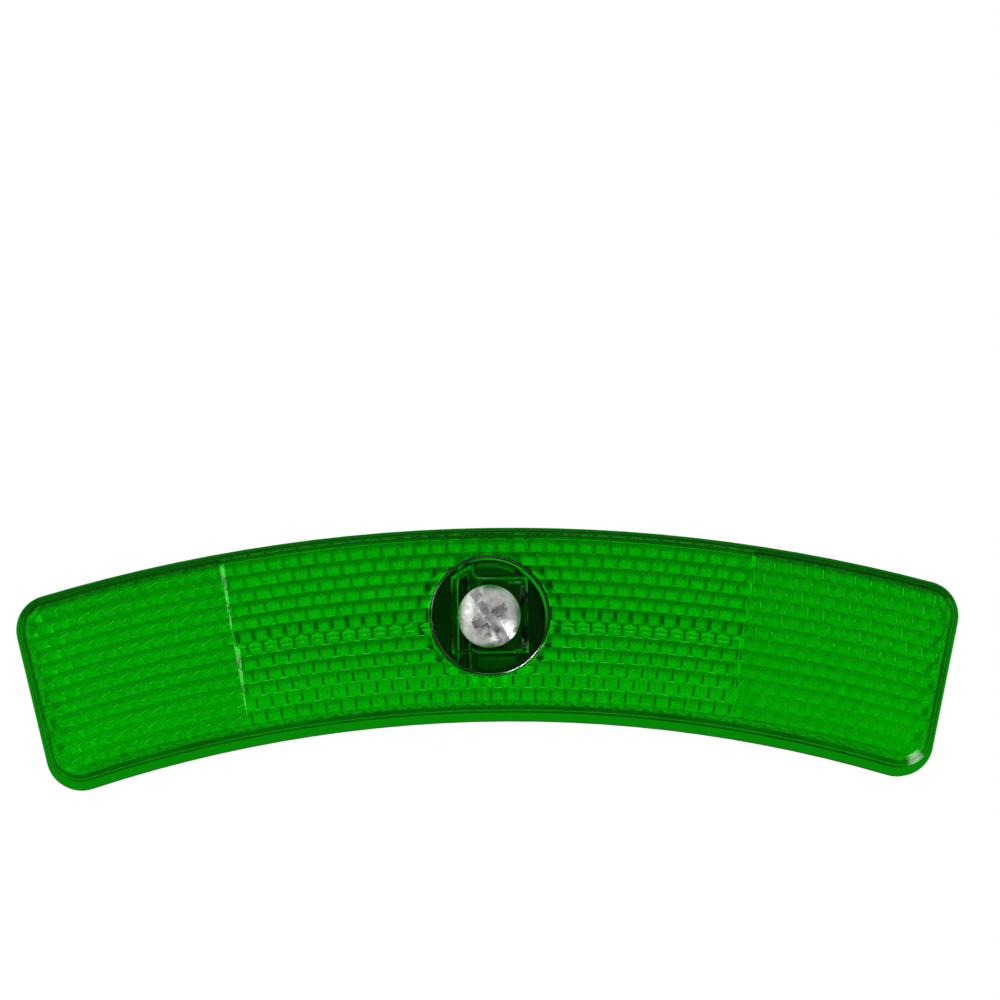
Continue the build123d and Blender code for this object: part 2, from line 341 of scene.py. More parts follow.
@dataclass(frozen=True)
class Finish:
    """A procedural material on the Principled shader."""

    name: str
    slot: Slot  # record slot that it stands for
    colour: tuple[float, float, float]  # base colour, linear
    rough: Rough
    rough_spread: float  # how far the roughness wanders over the surface
    grain_scale: float
    flow_scale: float  # scale of the broad mottle
    bump_depth: float

    def shader(self, tree: NodeTree) -> bpy.types.Node:
        """Return a material's Principled node."""
        return tree.nodes["Principled BSDF"]

    def build(self) -> bpy.types.Material:
        """Make the material once.

        Returns:
            The material.
        """
        if self.name in bpy.data.materials:
            return bpy.data.materials[self.name]
        material = bpy.data.materials.new(self.name)
        material.use_nodes = True
        tree = material.node_tree
        looks = {
            "Grain Scale": self.grain_scale,
            "Flow Scale": self.flow_scale,
            "Rough Low": self.rough.value,
            "Rough High": self.rough.value + self.rough_spread,
        }
        grain = add(tree, "ShaderNodeGroup", looks, node_tree=GrainGroup.tree())
        depth = {"Strength": 1.0, "Distance": self.bump_depth, "Height": grain.outputs["Height"]}
        bump = add(tree, "ShaderNodeBump", depth)
        surface = {
            "Base Color": (*self.colour, 1.0),
            "Roughness": grain.outputs["Roughness"],
            "Normal": bump.outputs["Normal"],
        }
        feed(self.shader(tree), surface)
        self.detail(tree, grain)
        return material

    def detail(self, tree: NodeTree, grain: bpy.types.Node) -> None:
        """Add what only this finish has: nothing for a plain one.

        Args:
            tree: The material's node tree.
            grain: Its grain group.
        """

    def mottled(self, tree: NodeTree, grain: bpy.types.Node, dark: float) -> None:
        """Let the base colour wander between a darker shade and itself.

        Args:
            tree: The material's node tree.
            grain: Its grain group.
            dark: Share of the colour that the darker shade keeps.
        """
        ramp = add(tree, "ShaderNodeValToRGB", {"Fac": grain.outputs["Mottle"]})
        for stop, position, share in zip(ramp.color_ramp.elements, MOTTLE_EDGES, (dark, 1.0)):
            stop.position = position
            stop.color = (*(channel * share for channel in self.colour), 1.0)
        feed(self.shader(tree), {"Base Color": ramp.outputs["Color"]})

    def roughened(self, tree: NodeTree, grain: bpy.types.Node, mark: Mark, amount: float) -> None:
        """Add roughness where a face attribute says so.

        Args:
            tree: The material's node tree.
            grain: Its grain group.
            mark: The attribute.
            amount: Roughness that a mark of 1 adds.
        """
        share = add(tree, "ShaderNodeAttribute", attribute_name=mark.value).outputs["Fac"]
        total = calc(tree, "MULTIPLY_ADD", share, amount, grain.outputs["Roughness"])
        feed(self.shader(tree), {"Roughness": total})


@dataclass(frozen=True)
class ClearGlass(Finish):
    """Clear dyed acrylic: light is lost on its way through."""

    dye: tuple[float, float, float] = (0.03, 0.985, 0.05)  # colour that passes through
    dye_density: float = 2200.0  # strength of the dye per metre
    index: float = 1.49  # refractive index
    frost: float = 0.28  # roughness that the moulded prisms have over the polished faces
    rim_shade_colour: tuple[float, float, float] = (0.05, 0.17, 0.05)  # painted shade that darkens the welded rim and the hub

    def detail(self, tree: NodeTree, grain: bpy.types.Node) -> None:
        """Make the shader clear, fill the solid with dye, frost the prisms and paint shade on the rim.

        Args:
            tree: The material's node tree.
            grain: Its grain group.
        """
        dyed = {"Color": (*self.dye, 1.0), "Density": self.dye_density}
        dye = add(tree, "ShaderNodeVolumeAbsorption", dyed)
        feed(tree.nodes["Material Output"], {"Volume": dye.outputs["Volume"]})
        self.roughened(tree, grain, Mark.PRISM, self.frost)
        # Painted shade: marked faces of the rim and the hub take a darker base colour
        rim = add(tree, "ShaderNodeAttribute", attribute_name=Mark.RIM_SHADE.value)
        tints = {MIX_FIRST: (*self.colour, 1.0), MIX_SECOND: (*self.rim_shade_colour, 1.0)}
        shade = add(tree, "ShaderNodeMix", {MIX_FACTOR: rim.outputs["Fac"], **tints}, data_type="RGBA")
        clear = {"IOR": self.index, "Transmission Weight": 1.0}
        feed(self.shader(tree), {**clear, "Base Color": shade.outputs[MIX_RESULT]})


@dataclass(frozen=True)
class MouldedPlastic(Finish):
    """Moulded plastic with a faint mottle."""

    dark: float = 0.6  # share of the colour that the mottle's darker shade keeps

    def detail(self, tree: NodeTree, grain: bpy.types.Node) -> None:
        """Let the colour wander a little."""
        self.mottled(tree, grain, self.dark)


@dataclass(frozen=True)
class ZincPlate(Finish):
    """Bright zinc plating, duller where it pools and in a stamped recess."""

    dark: float = 0.5  # share of the colour that the mottle's darker shade keeps
    dull: float = 0.18  # roughness that a stamped recess has over the rest

    def detail(self, tree: NodeTree, grain: bpy.types.Node) -> None:
        """Make it metal with a mottled colour and a dull recess.

        Args:
            tree: The material's node tree.
            grain: Its grain group.
        """
        feed(self.shader(tree), {"Metallic": 1.0})
        self.mottled(tree, grain, self.dark)
        self.roughened(tree, grain, Mark.RECESS, self.dull)


GREEN_GLASS = ClearGlass(
    "clear_green_acrylic", Slot.GLASS, (1.0, 1.0, 1.0), Rough.POLISHED,
    rough_spread=0.03, grain_scale=900.0, flow_scale=60.0, bump_depth=8e-7,
)
WELD_PLASTIC = MouldedPlastic(
    "cloudy_weld", Slot.GLASS, (0.05, 0.8, 0.06), Rough.SATIN,
    rough_spread=0.3, grain_scale=1500.0, flow_scale=120.0, bump_depth=2e-5,
)
# Painted shade, painted shadows and painted highlight streaks: opaque strips in the lens that stand in for
# light and shade between the prism cells
GAP_SHADE = replace(
    WELD_PLASTIC, name="cell_gap", colour=(0.02, 0.55, 0.03), rough_spread=0.2, flow_scale=300.0
)
SHADOW_PLASTIC = replace(GAP_SHADE, name="cell_shadow", colour=(0.01, 0.3, 0.02))
STREAK_HIGHLIGHT = replace(GAP_SHADE, name="cell_streak", colour=(0.1, 0.8, 0.12))
CLIP_PLASTIC = MouldedPlastic(
    "dark_clip_plastic", Slot.CLIP, (0.065, 0.085, 0.065), Rough.SATIN,
    rough_spread=0.2, grain_scale=2500.0, flow_scale=150.0, bump_depth=1e-5,
)
# Painted glints: metal strips inside the lens that stand in for the prism edges' highlights
GLINT = ZincPlate(
    "cell_glint", Slot.GLASS, (0.5, 0.8, 0.6), Rough.PLATED,
    rough_spread=0.2, grain_scale=1500.0, flow_scale=300.0, bump_depth=2e-6,
)
ZINC = ZincPlate(
    "bright_zinc", Slot.STEEL, (0.82, 0.82, 0.8), Rough.PLATED,
    rough_spread=0.3, grain_scale=1300.0, flow_scale=900.0, bump_depth=8e-5,
)


def dress(mesh: Mesh, finish: Finish) -> None:
    """Give a mesh a finish."""
    mesh.materials.clear()
    mesh.materials.append(finish.build())


def piece_of(name: str, mesh: Mesh, body: Body, finish: Finish, *nodes: Node) -> None:
    """Add a finished piece that rides on a body and stands for CAD nodes.

    Args:
        name: Name of the piece.
        mesh: Its mesh, in place.
        body: Body that it moves with.
        finish: Finish that it is given.
        nodes: CAD nodes that it stands for.
    """
    dress(mesh, finish)
    item = new_object(name, mesh)
    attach(item, body.value)
    if nodes:
        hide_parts(*(node.value for node in nodes))
    LOG.info("%s: %d faces on %s", name, len(mesh.polygons), body.value)


@dataclass
class WeldedLens:
    """Front and rear lens, welded along their flange into one clear hollow body."""

    weld_depth: float = 5.55 * MM  # depth at which the flanges meet
    reach: float = 0.002 * MM  # how near corners of the flanges lie to be one
    sharp_angle: float = 25.0  # angle in degrees from which an edge is sharp
    bead_inset: float = 0.05 * MM  # gap between the cavity and the weld bead
    bead_width: float = 1.0 * MM
    bead_thickness: float = 0.1 * MM
    hub_clear: float = 9.2 * MM  # radius round the hub without prisms
    hub_edge: float = 8.0 * MM  # radius from which the hub's shaded edge starts
    cavity: tuple[float, float] = (2.85 * MM, 8.26 * MM)  # depths between which the prisms lie
    flange: tuple[float, float] = (4.0 * MM, 7.1 * MM)  # depths between which the flange lies
    crown_radius: float = 235.0 * MM  # radius from which the crown's rim starts
    foot_radius: float = 196.0 * MM  # radius below which the foot's rim starts
    end_reach: float = 66.4 * MM  # half length from which the ends' rim starts
    zone_angle: float = 9.55  # half angle of the middle zone, in degrees
    least_tilt: float = 0.05  # least share of Y in the direction of a prism's face
    end_frost: float = 1.5  # how much rougher the prisms of the end zones are
    hub_shade: float = 0.7  # how much painted shade the hub's edge and back get, from 0 to 1
    crown_shade: tuple[float, float] = (1.0, 0.8)  # how much painted shade the crown's lip gets, and the rest of its rim
    # how much painted shade the lip of the foot and the ends gets, and the rest of their rim
    foot_shade: tuple[float, float] = (0.84, 0.25)

    def on_weld(self, face: bmesh.types.BMFace) -> bool:
        """Tell whether a face lies in the plane of the weld."""
        return all(abs(corner.co.y + self.weld_depth) < self.reach for corner in face.verts)

    def open_weld(self, shape: bmesh.types.BMesh) -> None:
        """Take the faces in the plane of the weld out of a lens."""
        bmesh.ops.delete(shape, geom=[face for face in shape.faces if self.on_weld(face)], context="FACES")

    def cavity_line(self) -> list[Vector]:
        """Read the outline of the cavity in the plane of the weld.

        Returns:
            The corners of the shorter loop round the front lens's flange, in order.
        """
        front = merged_copy(Node.FRONT)
        self.open_weld(front)
        waiting = [edge for edge in front.edges if edge.is_boundary]
        loops = []
        while waiting:
            edge = waiting.pop()
            loop = [edge.verts[0], edge.verts[1]]
            while ahead := [link for link in loop[-1].link_edges if link in waiting]:
                waiting.remove(ahead[0])
                loop.append(ahead[0].other_vert(loop[-1]))
            loops.append([corner.co.copy() for corner in loop[:-1]])
        front.free()
        return min(loops, key=lambda loop: sum((a - b).length for a, b in zip(loop, loop[1:] + loop[:1])))

    def weld_bead(self) -> None:
        """Lay the cloudy weld bead inside the flange, round the cavity."""
        line = self.cavity_line()
        count = len(line)
        turn = sum(a.x * b.z - b.x * a.z for a, b in zip(line, line[1:] + line[:1]))
        side = 1.0 if turn > 0 else -1.0
        lift = Vector((0.0, self.bead_thickness / 2, 0.0))
        bead = bmesh.new()
        rows = []
        for index, corner in enumerate(line):
            ahead = (line[(index + 1) % count] - line[index - 1]).normalized()
            outward = Vector((ahead.z, 0.0, -ahead.x)) * side
            near = corner + outward * self.bead_inset
            far = near + outward * self.bead_width
            places = (near - lift, far - lift, far + lift, near + lift)
            rows.append([bead.verts.new(place) for place in places])
        for row, after in zip(rows, rows[1:] + rows[:1]):
            for corners in zip(row, row[1:] + row[:1], after[1:] + after[:1], after):
                bead.faces.new(corners)
        bmesh.ops.recalc_face_normals(bead, faces=bead.faces)
        mesh = finished_mesh("weld_bead", bead, self.sharp_angle)
        piece_of("weld_bead", mesh, Body.LENS, WELD_PLASTIC)

    def rim_shade_share(self, centre: Vector, normal: Vector) -> float:
        """Tell how much painted shade the rim gets at a face: most along the crown and the lip.

        Args:
            centre: Middle of the face.
            normal: Its direction.

        Returns:
            A share of painted shade, from 0, none, to 1.
        """
        out = PLAN.out(centre)
        if out < self.hub_clear:
            edge = out > self.hub_edge and abs(normal.y) < FLAT_FRONT
            return self.hub_shade if edge or -centre.y < self.cavity[0] else 0.0
        lip = self.flange[0] < -centre.y < self.flange[1]
        if abs(normal.y) > FLAT_FRONT and not lip:
            return 0.0
        foot = PLAN.out(centre, PLAN.foot_centre) < self.foot_radius
        if PLAN.out(centre, PLAN.crown_centre) > self.crown_radius:
            on_lip, beside = self.crown_shade
        elif foot or PLAN.past_end(centre, self.end_reach):
            on_lip, beside = self.foot_shade
        else:
            return 0.0
        return on_lip if lip else beside

    def mark(self, mesh: Mesh) -> None:
        """Note on every face of the lens whether it is a prism's and how much painted shade the rim gets.

        Args:
            mesh: The lens.
        """
        prism = mesh.attributes.new(Mark.PRISM.value, "FLOAT", "FACE")
        rim = mesh.attributes.new(Mark.RIM_SHADE.value, "FLOAT", "FACE")
        for face in mesh.polygons:
            within = self.cavity[0] < -face.center.y < self.cavity[1]
            tilted = self.least_tilt < abs(face.normal.y) < FLAT_FRONT
            round_hub = PLAN.out(face.center) < self.hub_clear
            frost = 1.0 if abs(PLAN.bearing(face.center)) < self.zone_angle else self.end_frost
            prism.data[face.index].value = frost * float(within and tilted and not round_hub)
            rim.data[face.index].value = self.rim_shade_share(face.center, face.normal)

    def build(self) -> None:
        """Join both lenses where they touch and lay the weld bead between them."""
        self.weld_bead()
        joined = merged_copy(Node.FRONT)
        rear = merged_copy(Node.REAR)
        carried = bpy.data.meshes.new("rear_half")
        rear.to_mesh(carried)
        rear.free()
        joined.from_mesh(carried)
        bpy.data.meshes.remove(carried)
        self.open_weld(joined)
        seam = {corner for edge in joined.edges if edge.is_boundary for corner in edge.verts}
        bmesh.ops.remove_doubles(joined, verts=list(seam), dist=self.reach)
        mesh = finished_mesh("welded_prism_lens", joined, self.sharp_angle)
        self.mark(mesh)
        piece_of("welded_prism_lens", mesh, Body.LENS, GREEN_GLASS, Node.FRONT, Node.REAR)


class Zone(Enum):
    """Zones of the front lens, from left to right."""

    LEFT = "left"
    MIDDLE = "middle"
    RIGHT = "right"


@dataclass(frozen=True)
class StripSize:
    """Size of one kind of strip."""

    wide: float
    long: float  # its length, as a share of a row's height or, along a row, of a cell's width
    lean: float = 0.0  # its lean, in degrees


@dataclass(frozen=True)
class Strip:
    """A strip in its place."""

    middle: Vector
    wide: float
    long: float  # its length, before it is varied
    turn: float  # its angle in the front view


@dataclass
class PaintedCellLight:
    """Thin strips seen through the front wall that paint light and shade on the prism cells: shade in the
    gaps, shadows, and highlights as streaks and glints.
    """

    hub_clear: float = 9.6 * MM  # room kept round the hub
    foot_clear: float = 196.4 * MM  # radius of the foot arc that is kept clear
    end_reach: float = 65.9 * MM  # half length of the cells
    first_line: float = 235.4 * MM  # radius of the first row's outer edge
    ridge_radius: float = 222.8 * MM  # radius of the ridge across the middle zone
    pitch: float = 2.25 * MM  # width of a cell
    rows: int = 13
    columns: int = 32  # cells on each side of the hub's axis
    zone_angle: float = 9.3  # half angle of the middle zone, in degrees
    depth: float = 8.4 * MM  # depth at which the painted strips lie
    front_face: float = 9.75 * MM  # depth of the flat front face
    facet_foot: float = 212.0 * MM  # radius at which the lower facet meets that face
    facet_rise: float = 0.9 * MM  # height of the ridge over it
    glint_cover: float = 0.65 * MM  # how deep the glints lie under the front face
    thickness: float = 0.06 * MM  # thickness of a strip
    seed: int = 7  # seed of the small differences between cells
    gap: StripSize = StripSize(0.29 * MM, 0.82)  # painted shade in the gap between two cells above the ridge
    shadow: StripSize = StripSize(0.26 * MM, 0.8)  # painted shadow in the gap between two cells below the ridge
    ridge_shadow: StripSize = StripSize(0.6 * MM, 0.9)  # painted shadow in the gap between two cells of the row over the ridge
    # painted highlight streaks on a cell, each after its place as a share of half a cell's width
    streaks: tuple[tuple[float, StripSize], ...] = (
        (0.8, StripSize(0.1 * MM, 0.8)),
        (1.3, StripSize(0.08 * MM, 0.7)),
    )
    streak_room: float = 1.2  # share of it that has to be free for them
    step_glint: StripSize = StripSize(0.11 * MM, 0.66)  # glint along a cell's upper edge
    step_lift: float = 0.46  # its height over a row's middle, in row heights
    ridge_glint: StripSize = StripSize(0.16 * MM, 0.66)
    ridge_drop: float = 0.35 * MM  # how far under the ridge its glint lies
    right_glint: StripSize = StripSize(0.1 * MM, 0.75, -8.0)  # glint on a cell's side in the right zone
    left_glint: StripSize = StripSize(0.055 * MM, 0.9, 57.0)  # glint on a cell's side in the left zone
    least_dark: float = 0.7  # share of its length that the shortest gap or shadow keeps
    least_streak: float = 0.2  # the same for the streaks
    least_glint: float = 0.3  # the same for the glints

    @property
    def rise(self) -> float:
        """Height of a row."""
        return self.pitch * math.sqrt(3) / 2

    @property
    def turn(self) -> float:
        """Angle that a cell takes up at the ridge."""
        return self.pitch / self.ridge_radius

    def place(self, angle: float, radius: float, depth: float | None = None) -> Vector:
        """Find a point about the crown arc's centre, at the painted strips' depth if none is given."""
        x, z = PLAN.hub_x + radius * math.sin(angle), PLAN.crown_centre + radius * math.cos(angle)
        return Vector((x, -(self.depth if depth is None else depth), z))

    def glint_depth(self, zone: Zone, radius: float) -> float:
        """Find the depth just under the front face, which slopes up to the ridge in the middle."""
        slope = min(max((radius - self.facet_foot) / (self.ridge_radius - self.facet_foot), 0.0), 1.0)
        return self.front_face + (self.facet_rise * slope if zone is Zone.MIDDLE else 0.0) - self.glint_cover

    def inside(self, point: Vector) -> bool:
        """Tell whether a point lies over cells, clear of the hub and the walls."""
        clear = PLAN.out(point) > self.hub_clear and PLAN.out(point, PLAN.foot_centre) > self.foot_clear
        return clear and not PLAN.past_end(point, self.end_reach)

    def zone(self, angle: float) -> Zone:
        """Return the zone at an angle from the crown's middle."""
        side = Zone.LEFT if angle < 0 else Zone.RIGHT
        return Zone.MIDDLE if abs(math.degrees(angle)) < self.zone_angle else side

    def lattice(self) -> list[tuple[Zone, float, float]]:
        """List the places of the cells' upright sides.

        Returns:
            Zone, angle and radius of the middle of each side.
        """
        places = []
        for row in range(self.rows):
            radius = self.first_line - (row + 0.5) * self.rise
            for column in range(-self.columns, self.columns + 1):
                angle = (column + 0.5 * ((row + 1) % 2)) * self.turn
                if self.inside(self.place(angle, radius)):
                    places.append((self.zone(angle), angle, radius))
        return places

    def tree(self) -> NodeTree:
        """Build the Geometry Nodes tree that lays a thin strip on every point.

        Returns:
            The tree, with the strips' spread, thickness, seed and finish as named inputs.
        """
        inputs = {"Points": "Geometry", "Shortest": "Float", "Thickness": "Float", "Seed": "Int"}
        tree, source = new_tree("seam_strips", inputs | {"Finish": "Material"})
        wide, long, turn = (
            add(tree, "GeometryNodeInputNamedAttribute", {"Name": name}, data_type="FLOAT")
            for name in STRIP_SIZES
        )
        spread = {RANDOM_LOW: source["Shortest"], RANDOM_HIGH: 1.0, "Seed": source["Seed"]}
        vary = add(tree, "FunctionNodeRandomValue", spread, data_type="FLOAT")
        size = {
            "X": wide.outputs["Attribute"],
            "Y": calc(tree, "MULTIPLY", long.outputs["Attribute"], vary.outputs[RANDOM_RESULT]),
            "Z": source["Thickness"],
        }
        turned = {"X": math.pi / 2, "Y": turn.outputs["Attribute"]}
        laid = {
            "Points": source["Points"],
            "Instance": add(tree, "GeometryNodeMeshCube").outputs["Mesh"],
            "Rotation": add(tree, "ShaderNodeCombineXYZ", turned).outputs["Vector"],
            "Scale": add(tree, "ShaderNodeCombineXYZ", size).outputs["Vector"],
        }
        strips = add(tree, "GeometryNodeInstanceOnPoints", laid)
        close_tree(tree, strips.outputs["Instances"], source["Finish"])
        return tree

    def upright(
        self, size: StripSize, angle: float, radius: float, turn: float, depth: float | None = None
    ) -> Strip:
        """Stand a strip on the lattice, at the painted strips' depth if none is given."""
        return Strip(self.place(angle, radius, depth), size.wide, size.long * self.rise, turn)

    def edge_glint(self, angle: float, radius: float) -> Strip:
        """Lay a glint along the upper edge of a cell below the ridge.

        Args:
            angle: Angle of the cell's left side.
            radius: Radius of the row's middle.

        Returns:
            The glint.
        """
        first = self.ridge_radius - radius < self.rise / 2
        size = self.ridge_glint if first else self.step_glint
        line = self.ridge_radius - self.ridge_drop if first else radius + self.step_lift * self.rise
        middle = angle + self.turn / 2
        place = self.place(middle, line, self.glint_depth(Zone.MIDDLE, line))
        return Strip(place, size.wide, size.long * self.pitch, middle + math.pi / 2)

    def lay(self, name: str, strips: list[Strip], shortest: float, tree: NodeTree, finish: Finish) -> None:
        """Lay strips and add them as one piece.

        Args:
            name: Name of the piece.
            strips: The strips.
            shortest: Share of its length that the shortest strip keeps.
            tree: Geometry Nodes tree that lays them.
            finish: Finish of the strips.
        """
        points = bpy.data.meshes.new("seam_points")
        points.from_pydata([strip.middle for strip in strips], [], [])
        for label in STRIP_SIZES:
            values = points.attributes.new(label, "FLOAT", "POINT")
            values.data.foreach_set("value", [getattr(strip, label) for strip in strips])
        inputs = {"Shortest": shortest, "Thickness": self.thickness, "Seed": self.seed}
        inputs["Finish"] = finish.build()
        piece_of(name, grown_mesh(name, points, tree, inputs), Body.LENS, finish)

    def build(self) -> None:
        """Lay painted shade in the cells' edges, painted shadows and highlight streaks in the middle zone,
        and painted glints in all three.
        """
        gap_shades, shadows, streaks, glints = [], [], [], []
        half = self.turn / 2
        for zone, angle, radius in self.lattice():
            above = radius > self.ridge_radius
            shine = self.glint_depth(zone, radius)
            if zone is Zone.MIDDLE:
                # Painted shade in the gaps between cells, and painted shadows below and along the ridge
                if 0 < radius - self.ridge_radius < self.rise:
                    shadows.append(self.upright(self.ridge_shadow, angle, radius, angle))
                elif above:
                    gap_shades.append(self.upright(self.gap, angle, radius, angle))
                else:
                    shadows.append(self.upright(self.shadow, angle, radius, angle))
                # Painted highlights: pale streaks for the lit ridges inside each cell
                if self.inside(self.place(angle + self.streak_room * half, radius)):
                    for share, size in self.streaks:
                        streaks.append(self.upright(size, angle + share * half, radius, angle))
                if not above and self.zone(angle + self.turn) is Zone.MIDDLE:
                    glints.append(self.edge_glint(angle, radius))
            elif zone is Zone.RIGHT and above:
                turn = angle + math.radians(self.right_glint.lean)
                glints.append(self.upright(self.right_glint, angle, radius, turn, shine))
            elif zone is Zone.LEFT:
                turn = math.radians(self.left_glint.lean)
                glints.append(self.upright(self.left_glint, angle, radius, turn, shine))
        tree = self.tree()
        self.lay("cell_gaps", gap_shades, self.least_dark, tree, GAP_SHADE)
        self.lay("cell_shadows", shadows, self.least_dark, tree, SHADOW_PLASTIC)
        self.lay("cell_streaks", streaks, self.least_streak, tree, STREAK_HIGHLIGHT)
        self.lay("cell_glints", glints, self.least_glint, tree, GLINT)


@dataclass
class ThreadedScrew:
    """Clamp screw: its head from the solid, its shank with a real thread."""

    seat: float = 8.5 * MM  # depth at which the head ends
    seat_margin: float = 0.05 * MM  # how far before it a face is still the shank's
    tip: float = -7.5 * MM  # depth of the screw's tip
    outer_radius: float = 2.0 * MM  # radius of the thread's crests
    root_radius: float = 1.58 * MM  # radius of the thread's roots
    pitch: float = 0.7 * MM  # rise of the thread in one turn
    crest_cut: float = 1.15  # factor by which the flanks would rise past the flat crests
    tip_chamfer: float = 0.4 * MM
    sink: float = 0.3 * MM  # how far the shank starts inside the head
    sides: int = 40  # faces round the shank
    steps: int = 10  # faces along one turn of the thread
    sharp_angle: float = 28.0  # angle in degrees from which an edge is sharp
    head_radius: float = 4.5 * MM
    head_top: float = 11.0 * MM  # depth of the top of the domed head
    dome_radius: float = 10.6 * MM
    recess_sink: float = 0.15 * MM  # how far under the dome a face lies to be the recess's
    slot_floor: float = 9.7 * MM  # depth below which the recess is the deeper cross
    cross_share: float = 0.25  # share of the slot's dullness that the cross has

    def thread_tree(self) -> NodeTree:
        """Build the Geometry Nodes tree of a threaded rod that stands on +Z.

        Returns:
            The tree, with its sizes and its material as named inputs.
        """
        lengths = ("Length", "Outer Radius", "Root Radius", "Pitch", "Tip Chamfer")
        inputs = dict.fromkeys(lengths, "Float") | {"Sides": "Int", "Rings": "Int", "Finish": "Material"}
        tree, source = new_tree("threaded_rod", inputs)
        length, outer, root = source["Length"], source["Outer Radius"], source["Root Radius"]
        sizes = {"Vertices": source["Sides"], "Side Segments": source["Rings"]}
        rod = add(tree, "GeometryNodeMeshCylinder", {**sizes, "Radius": outer, "Depth": length})
        place = add(tree, "GeometryNodeInputPosition").outputs["Position"]
        split = add(tree, "ShaderNodeSeparateXYZ", {"Vector": place}).outputs
        work = partial(calc, tree)
        turn = work("DIVIDE", work("ARCTAN2", split["Y"], split["X"]), 2 * math.pi)
        phase = work("FRACT", work("SUBTRACT", work("DIVIDE", split["Z"], source["Pitch"]), turn))
        wave = work("ABSOLUTE", work("SUBTRACT", work("MULTIPLY", phase, 2.0), 1.0))
        crest = work("MINIMUM", work("MULTIPLY", wave, self.crest_cut), 1.0)
        radius = work("ADD", root, work("MULTIPLY", crest, work("SUBTRACT", outer, root)))
        end = work("SUBTRACT", work("MULTIPLY", length, 0.5), split["Z"])
        bevel = work("ADD", work("SUBTRACT", outer, source["Tip Chamfer"]), end)
        share = work("DIVIDE", work("MINIMUM", radius, bevel), outer)
        moved = {axis: work("MULTIPLY", split[axis], share) for axis in "XY"} | {"Z": split["Z"]}
        corners = add(tree, "ShaderNodeCombineXYZ", moved).outputs["Vector"]
        shape = {"Geometry": rod.outputs["Mesh"], "Position": corners}
        threaded = add(tree, "GeometryNodeSetPosition", shape)
        close_tree(tree, threaded.outputs["Geometry"], source["Finish"])
        return tree

    def shank(self) -> Mesh:
        """Make the threaded shank in place.

        Returns:
            A plain mesh from inside the head to the tip.
        """
        length = self.seat + self.sink - self.tip
        values = {
            "Length": length,
            "Outer Radius": self.outer_radius,
            "Root Radius": self.root_radius,
            "Pitch": self.pitch,
            "Tip Chamfer": self.tip_chamfer,
            "Sides": self.sides,
            "Rings": round(length / self.pitch * self.steps),
            "Finish": ZINC.build(),
        }
        mesh = grown_mesh("thread", bpy.data.meshes.new("thread_base"), self.thread_tree(), values)
        middle = (self.seat + self.sink + self.tip) / 2
        mesh.transform(Matrix.Translation((PLAN.hub_x, -middle, 0)) @ Matrix.Rotation(-math.pi / 2, 4, "X"))
        return mesh

    def mark(self, mesh: Mesh) -> None:
        """Note on every face of the screw how dull the head's stamped recess is there.

        Args:
            mesh: The screw.
        """
        recess = mesh.attributes.new(Mark.RECESS.value, "FLOAT", "FACE")
        for face in mesh.polygons:
            out = PLAN.out(face.center)
            forward = -face.center.y
            dome = self.head_top - self.dome_radius + math.sqrt(self.dome_radius**2 - out**2)
            in_head = out < self.head_radius - self.recess_sink and forward > self.seat + self.recess_sink
            share = 1.0 if forward > self.slot_floor else self.cross_share
            recess.data[face.index].value = share * float(in_head and forward < dome - self.recess_sink)

    def build(self) -> None:
        """Join the solid's head to the threaded shank."""
        joined = merged_copy(Node.SCREW)
        shank_end = self.seat_margin - self.seat
        shank_faces = [face for face in joined.faces if face.calc_center_median().y > shank_end]
        bmesh.ops.delete(joined, geom=shank_faces, context="FACES")
        rim = [edge for edge in joined.edges if edge.is_boundary]
        bmesh.ops.holes_fill(joined, edges=rim, sides=0)
        joined.from_mesh(self.shank())
        mesh = finished_mesh("threaded_clamp_screw", joined, self.sharp_angle)
        self.mark(mesh)
        piece_of("threaded_clamp_screw", mesh, Body.SCREW, ZINC, Node.SCREW)


@dataclass
class ClipSet:
    """Spoke clip and its nut, kept as their solids."""

    finishes: dict[Node, Finish] = field(default_factory=lambda: {Node.CLIP: CLIP_PLASTIC, Node.NUT: ZINC})

    def build(self) -> None:
        """Dress both solids."""
        for node, finish in self.finishes.items():
            dress(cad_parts[node.value].data, finish)
            LOG.info("%s keeps its solid, in %s", node.value, finish.name)


class Ray(Enum):
    """Kinds of light that the surroundings answer, each over the ones before it."""

    FILL = "fill"
    MIRRORED = "Is Glossy Ray"
    THROUGH = "Is Transmission Ray"
    SEEN = "Is Camera Ray"


@dataclass(frozen=True)
class Window:
    """A bright patch of the surroundings that polished faces mirror."""

    toward: tuple[float, float, float]  # direction in which it lies
    spread: float  # half angle in degrees at which it has faded
    level: float  # strength that it adds to the surroundings


